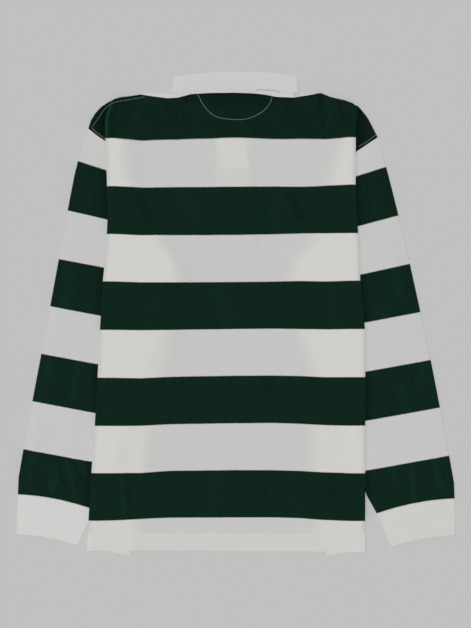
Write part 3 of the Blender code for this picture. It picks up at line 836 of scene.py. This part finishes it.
for name, sign, sides, cuts, underarm, bands, creases, backing in (
    ("left", -1, LEFT, SLEEVE_LEFT, UNDERARM_LEFT, BANDS_LEFT, CREASES_LEFT, 0.12),
    ("right", 1, RIGHT, SLEEVE_RIGHT, UNDERARM_RIGHT, BANDS_RIGHT, CREASES_RIGHT, 0),
):
    seam = armhole(sides)
    travelled = travelled_along(seam)
    shares = travelled / travelled[-1]
    bend = seam - seam[0] - shares[:, None] * (seam[-1] - seam[0])
    lines = [seam]
    for cut in cuts:
        outer = np.array([cut.x, cut.y])
        inner = along(underarm, cut.underarm)
        lines.append(outer + shares[:, None] * (inner - outer) + bend * cut.bend)
    lines = np.array(lines)
    last = len(lines) - 1
    levels = [i + j / ROWS_PER_CUT for i in range(last) for j in range(ROWS_PER_CUT)] + [last]

    def sleeve_place(column, level):
        number = min(int(level), last - 1)
        line = lines[number] + (lines[number + 1] - lines[number]) * (level - number)
        bow = CUFF_BOW * eased((level - last + BOW_CUTS) / BOW_CUTS)
        line = line + np.stack([0 * shares, 4 * bow * shares * (1 - shares)], axis=1)
        fold_levels = [side.y for side in sides][::-1]
        folds = [side.fold for side in sides][::-1]

        def lift(x, y, across):
            free = eased((x - np.interp(y, fold_levels, folds) - 1) / FREE_BESIDE)
            free *= eased(level / FREE_AFTER_SEAM) * eased((last - level) / FREE_BEFORE_CUFF)
            free *= eased(across / FREE_EDGE)
            return free * (SLEEVE_LOFT + crease_height(creases, x, y))

        def line_at(share):
            return np.array([np.interp(share, shares, line[:, i]) for i in (0, 1)])

        place, girth = tube_point(column, line_at, sign, lift)
        distance, y = abs(place[0]), place[1]
        low, high = SHOULDER_SHADE_SPAN
        # Painted shadow on the sleeve beside the body's fold, and painted light on its creases
        beside = distance - np.interp(y, fold_levels, folds)
        shade = FOLD_SHADE * eased(1 - beside / FOLD_SHADE_WIDTH)
        tone = 1 - SHOULDER_SHADE * eased((y - low) / (high - low))
        tone *= 1 + SLEEVE_RIDGE_PAINTED_LIGHT * crease_height(creases, distance, y) - shade
        hoop = sleeve_hoop(bands, distance, y)
        return Vector(place) * MM, (girth * MM, y * MM), hoop, backing, tone

    sleeve = lay_cloth(
        "sleeve_" + name + "_tube", tube_columns(FLAT_CELLS, FOLD_CELLS), levels, sleeve_place,
        JERSEY, closed=True,
    )
    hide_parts("sleeve_" + name)

# The cuffs: short tubes of white cotton rib, knitted one up and one down and a little stretchy,
# sewn to the ends of the sleeves. They lie flat like the sleeves.
Ring = namedtuple("Ring", "outer_x outer_y inner_x inner_y")
CUFF_LEFT = [
    Ring(348.5, -289.2, 226, -313.8), Ring(350, -320, 242, -346), Ring(350.6, -352, 251.5, -370.5)
]
CUFF_RIGHT = [
    Ring(351, -295.7, 226, -319.8), Ring(351, -324, 238, -346.5), Ring(351, -353.5, 249, -372)
]
RIB_PITCH = 3
RIB_DEPTH = 0.22
ROWS_PER_RING = 10
CUFF_CELLS = 164
# How high the upper layer stands, and the share of the width over which it rises at both edges
CUFF_LOFT = 1.2
CUFF_FREE_EDGE = 0.15
# Hoop, backing and tone of plain white cloth
PLAIN = (0, 0, 1)


def make_white_cloth(name, colour, height, depth_mm):
    """White cotton with a fine surface and a slight unevenness of tone."""
    material, shader = new_material(name, roughness=0.88)
    tone = speckle(material, 6, 0.993, 1.007)
    shade = add_node(material, "ShaderNodeCombineColor", {0: tone, 1: tone, 2: tone}).outputs[0]
    even = blend_colours(material, 1.0, colour, shade, "MULTIPLY")
    use_surface(material, shader, even, height(material), depth_mm)
    return material


for name, sign, rings, colour in (
    ("left", -1, CUFF_LEFT, from_srgb(209, 208, 206)),
    ("right", 1, CUFF_RIGHT, from_srgb(205, 205, 200)),
):
    rib_knit = make_white_cloth(
        "white_rib_knit_" + name, colour,
        lambda material: knit_height(material, wale_mm=1.5, course_mm=1.1), depth_mm=0.15,
    )
    levels = [i / ROWS_PER_RING for i in range(ROWS_PER_RING * (len(rings) - 1) + 1)]
    ribs_of_cuff = round((rings[0].outer_x - rings[0].inner_x) / RIB_PITCH)

    def cuff_place(column, level):
        ring = Ring(*[np.interp(level, range(len(rings)), values) for values in zip(*rings)])
        outer, inner = np.array(ring[:2]), np.array(ring[2:])

        def lift(x, y, across):
            rise = RIB_DEPTH * (0.5 - 0.5 * math.cos(2 * math.pi * ribs_of_cuff * across))
            free = eased(across / CUFF_FREE_EDGE) * eased((1 - across) / CUFF_FREE_EDGE)
            return rise + CUFF_LOFT * free

        bow = np.array((0, 4 * (CUFF_BOW - BOW_LOSS * level)))

        def line_at(share):
            return outer + share * (inner - outer) + bow * share * (1 - share)

        place, girth = tube_point(column, line_at, sign, lift)
        return Vector(place) * MM, (girth * MM, place[1] * MM), *PLAIN

    cuff = lay_cloth(
        "cuff_" + name + "_rib", tube_columns(CUFF_CELLS, FOLD_CELLS), levels, cuff_place, rib_knit,
        closed=True,
    )
    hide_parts("cuff_" + name)

# The collar: plain white cotton twill, cut as a stand and a fall in one, sewn round the neck and
# turned down over itself. At the back the fall shows; in front its two leaves lie under the body.
# x: distance of the neck seam's point; along: share of the way from the shoulder to the closing;
# roll: the line where the collar turns over; edge, left, right: lower edge of the fall and of its
# two leaves in front; mid: a line between the roll and that edge
Back = namedtuple("Back", "x roll_x roll_y edge_x edge_y")
COLLAR_BACK = [
    Back(0, 0, 387.2, 0, 359), Back(30, 31, 387, 31, 358.4), Back(60, 62, 385, 63, 358.4),
    Back(76, 79, 382.8, 80, 354.4), Back(92, 93.5, 380.4, 98.5, 353.6),
]
Leaf = namedtuple("Leaf", "along roll_x roll_y mid_x mid_y left_x left_y right_x right_y")
COLLAR_FRONT = [
    Leaf(0, 93.5, 380.4, 96, 367, 98.5, 353.6, 98.5, 353.6),
    Leaf(0.05, 89.6, 376.3, 98, 352.8, 101, 353.6, 101, 353.5),
    Leaf(0.25, 74, 360, 98, 349.5, 150, 354.5, 129, 352.2),
    Leaf(0.5, 50, 334, 88, 322, 134, 304, 122, 304),
    Leaf(0.75, 27, 315, 62, 288, 100, 258, 98, 258),
    Leaf(1, 7, 303, 34.5, 269.5, 62, 236, 62, 236),
]
# Height of the middle of the folded collar, and how far the stand and the fall lie from it
COLLAR_MIDDLE = FAR + LAYER
STAND_LEVEL = LAYER / 2
FALL_LEVEL = STAND_LEVEL + LAYER
FALL_LOFT = 1.0
# The fall's edge lies down on the body, but stands open a little on a stretch right of the middle
FALL_EDGE = 2.4
FALL_EDGE_DROP = 0.45
FALL_GAP = 0.5
FALL_GAP_SPAN = (34, 68)
FALL_GAP_SLOPE = 16
CLOSING = 7
STAND_HEIGHT = 30
# Places across one half of the collar, and rows from its seam over the roll to its edge
BACK_STATIONS = 30
TURN_STATIONS = 6
FRONT_STATIONS = 28
STAND_ROWS = 8
ROLL_ROWS = 5
FALL_ROWS = 8


def row_value(rows, key, at, name):
    return np.interp(at, [getattr(row, key) for row in rows], [getattr(row, name) for row in rows])


def collar_stations(sign):
    """From the middle of the back round one side to the closing: seam, roll, mid, edge, turn."""
    stations = []
    for x in np.linspace(0, NECK_HALF, BACK_STATIONS):
        roll_x, roll_y, edge_x, edge_y = [
            row_value(COLLAR_BACK, "x", x, name) for name in Back._fields[1:]
        ]
        seam = np.array((sign * x, top_edge(sign * x) + SEAM_GAP))
        roll, edge = np.array((sign * roll_x, roll_y)), np.array((sign * edge_x, edge_y))
        stations.append((seam, roll, (roll + edge) / 2, edge, 90))
    for i in range(1, TURN_STATIONS):
        stations.append((*stations[-1][:4], 90 - 180 * i / TURN_STATIONS))
    for share in [0, *np.linspace(COLLAR_FRONT[1].along, 1, FRONT_STATIONS)]:
        x = NECK_HALF + (CLOSING - NECK_HALF) * share
        seam = np.array((sign * x, top_edge(sign * x) - scoop(x) + SEAM_GAP))
        roll, mid, edge = [
            np.array((
                sign * row_value(COLLAR_FRONT, "along", share, name + "_x"),
                row_value(COLLAR_FRONT, "along", share, name + "_y"),
            )) for name in ("roll", "mid", "left" if sign < 0 else "right")
        ]
        stations.append((seam, roll, mid, edge, -90))
    return stations


def collar_place(station, share):
    """A point from the neck seam (0) over the roll (1 to 2) to the edge of the fall (3)."""
    seam, roll, mid, edge, turn = station
    rise = (roll - seam) / np.linalg.norm(roll - seam)
    angle = math.radians(turn)
    side = math.copysign(math.cos(angle), seam[0])
    is_back = turn > 0
    if share <= 1:
        plan, radius = seam + (roll - seam) * share, STAND_LEVEL
    elif share <= 2:
        round_roll = math.pi * (share - 1)
        plan = roll + rise * LAYER / 2 * math.sin(round_roll)
        radius = (STAND_LEVEL + FALL_LEVEL) / 2 - LAYER / 2 * math.cos(round_roll)
    else:
        down = 2 * (share - 2)
        plan = roll + (mid - roll) * down if down < 1 else mid + (edge - mid) * (down - 1)
        radius = FALL_LEVEL
        if is_back:
            opened = plateau(seam[0], *FALL_GAP_SPAN, FALL_GAP_SLOPE)
            rest = FALL_EDGE_DROP - (FALL_EDGE_DROP + FALL_GAP) * opened
            radius += FALL_LOFT * math.sin(math.pi * (share - 2))
            radius -= rest * eased((share - FALL_EDGE) / (3 - FALL_EDGE))
    lift = LAYER * band_lift(*plan) * max(0, 1 - share / 2) if turn == -90 else 0
    height = COLLAR_MIDDLE + radius * math.sin(angle) + lift
    place = Vector((plan[0] + radius * side, plan[1], height)) * MM
    length = share * (np.linalg.norm(roll - seam) if share < 1 else STAND_HEIGHT)
    return place, (plan[0] * MM, length * MM), *PLAIN


TWILL_PITCH = 0.9


def twill_height(material):
    """Fine diagonal lines across the cloth."""
    cloth = add_node(material, "ShaderNodeUVMap", {}, uv_map="cloth").outputs[0]
    split = add_node(material, "ShaderNodeSeparateXYZ", {0: cloth})
    slant = calculate(material, "ADD", split.outputs[0], split.outputs[1])
    turn = calculate(material, "MULTIPLY", slant, 2 * math.pi / (TWILL_PITCH * MM))
    return calculate(material, "SINE", turn)


TWILL = make_white_cloth(
    "white_twill_cloth", from_srgb(207, 207, 205), twill_height, depth_mm=0.08
)
shares = [i / STAND_ROWS for i in range(STAND_ROWS)]
shares += [1 + i / ROLL_ROWS for i in range(ROLL_ROWS)]
shares += [2 + i / FALL_ROWS for i in range(FALL_ROWS + 1)]
collar = lay_cloth(
    "collar_cloth", collar_stations(-1)[:0:-1] + collar_stations(1), shares, collar_place, TWILL
)
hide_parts("collar")

# The closing: a band of the same twill down the middle of the front, which lies face down, so the
# band is hidden below the body. Three plain moulded buttons are sewn to it.
BAND_ROWS = 24
BAND_COLUMNS = 8
band_levels = np.linspace(BAND_TOP, BAND_TOP - BAND_LENGTH, BAND_ROWS)
band_columns = np.linspace(-BAND_WIDTH / 2, BAND_WIDTH / 2, BAND_COLUMNS)
placket = lay_cloth(
    "placket_band", list(band_columns), list(band_levels),
    lambda x, y: (Vector((x, y, LAYER + WALL / 2)) * MM, (x * MM, y * MM), *PLAIN), TWILL,
)
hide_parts("placket")
button_plastic, button_shader = new_material("button_plastic", roughness=0.4)
button_shader.inputs["Specular IOR Level"].default_value = 0.5
button_tone = speckle(button_plastic, 4, 0.0, 1.0)
button_colour = blend_colours(
    button_plastic, button_tone, from_srgb(224, 222, 214), from_srgb(214, 211, 202)
)
button_plastic.node_tree.links.new(button_colour, button_shader.inputs["Base Color"])
for place in ("top", "middle", "bottom"):
    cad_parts["button_" + place].material_slots[0].material = button_plastic

# The sewing: rows of small stitches in pale thread that hold the neck facing, the shoulder seam,
# the armholes and the hem, and a darker warm grey row on the neck seam, where the collar's edge
# stands open over it: partly real stitches, partly painted shadow of that gap.
# Each stitch is a small rounded piece that lies on the cloth.
MOON = [
    (-60, 350.6), (-53.1, 335.8), (-40.3, 320.2), (-25.6, 312.8), (3.7, 309.8), (22.1, 312),
    (40.5, 321.1), (53.3, 332.2), (58.9, 347.2),
]
SHOULDER = [
    (-145.1, 347.2), (-183.5, 339.8), (-199.7, 335.8), (-208.4, 330.2), (-217.7, 315.8),
    (-231, 297.4),
]
ARMHOLE_LEFT = [(-229.8, 297.2), (-219.3, 288), (-208.2, 280.2)]
ARMHOLE_RIGHT = [(225, 287.3), (210.2, 275.2), (196, 267.7)]
NECK_SEAM = [(34, 359.2), (46, 358.4), (60, 356.8), (73, 353.4)]
HEM = [(-234, -351.5), (-120, -352.5), (0, -352.5), (120, -352.5), (204, -352.8)]
# Faces round and along a stitch, and how far its middle lies above the cloth
STITCH_SIDES = 6
STITCH_RINGS = 4
STITCH_LIFT = 0.1
# Each stitch is dropped on the cloth from this height, in metres
DROP_HEIGHT = 0.1
STITCH_PITCH = 3.4
NECK_PITCH = 2.2


def rounded(path, times=3):
    """The path with its corners cut again and again, until it is a smooth line."""
    points = np.array(path, float)
    for _ in range(times):
        near, far = points[:-1] * 0.75 + points[1:] * 0.25, points[:-1] * 0.25 + points[1:] * 0.75
        points = np.vstack([points[:1], np.stack([near, far], axis=1).reshape(-1, 2), points[-1:]])
    return points


def sew(name, path, size, ground, thread, pitch=STITCH_PITCH):
    """A row of stitches along a path in plan; size is a stitch's length, width and height."""
    depsgraph = bpy.context.evaluated_depsgraph_get()
    tree = BVHTree.FromObject(ground, depsgraph)
    points = rounded(path)
    length = np.linalg.norm(np.diff(points, axis=0), axis=1).sum()
    bm = bmesh.new()
    for i in range(int(length / pitch)):
        share = (i + 0.5) * pitch / length
        x, y = along(points, share)
        before, after = max(0, share - 1 / length), min(1, share + 1 / length)
        ahead = along(points, after) - along(points, before)
        hit, normal, *_ = tree.ray_cast(Vector((x * MM, y * MM, DROP_HEIGHT)), Vector((0, 0, -1)))
        if hit is None:
            continue
        turn = Matrix.Rotation(math.atan2(ahead[1], ahead[0]), 4, "Z")
        tilt = Vector((0, 0, 1)).rotation_difference(normal).to_matrix().to_4x4()
        scale = Matrix.Diagonal((*[value / 2 * MM for value in size], 1))
        matrix = Matrix.Translation(hit + normal * STITCH_LIFT * MM) @ tilt @ turn @ scale
        bmesh.ops.create_uvsphere(
            bm, u_segments=STITCH_SIDES, v_segments=STITCH_RINGS, radius=1, matrix=matrix
        )
    mesh = bpy.data.meshes.new(name)
    bm.to_mesh(mesh)
    bm.free()
    mesh.shade_smooth()
    mesh.materials.append(thread)
    row = bpy.data.objects.new(name, mesh)
    bpy.context.scene.collection.objects.link(row)
    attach(row, "root")


def make_thread(name, colour):
    """Twisted thread, which is darker in spots."""
    thread, shader = new_material(name, roughness=0.7)
    shade = blend_colours(thread, speckle(thread, 1.5, 0.0, 0.4), colour, (0, 0, 0, 1))
    thread.node_tree.links.new(shade, shader.inputs["Base Color"])
    return thread


GREEN_THREAD = make_thread("pale_green_thread", from_srgb(150, 172, 160))
WHITE_THREAD = make_thread("white_thread", from_srgb(228, 228, 224))
# Darker warm grey thread: painted shadow of the gap under the collar's edge, on real seam stitches
GAP_SHADOW_SEAM_THREAD = make_thread("warm_grey_thread_painted_gap_shadow", from_srgb(170, 162, 144))
sew("neck_seam_stitch", NECK_SEAM, (2.6, 1.0, 0.5), collar, GAP_SHADOW_SEAM_THREAD, pitch=NECK_PITCH)
sew("moon_stitch", MOON, (2.7, 1.0, 0.7), back_panel, GREEN_THREAD)
sew("shoulder_stitch", SHOULDER, (2.7, 0.75, 0.5), back_panel, GREEN_THREAD)
sew("armhole_stitch_left", ARMHOLE_LEFT, (2.7, 0.9, 0.7), back_panel, GREEN_THREAD)
sew("armhole_stitch_right", ARMHOLE_RIGHT, (2.8, 0.9, 0.7), back_panel, GREEN_THREAD)
sew("hem_stitch", HEM, (2.7, 0.7, 0.35), back_panel, WHITE_THREAD)
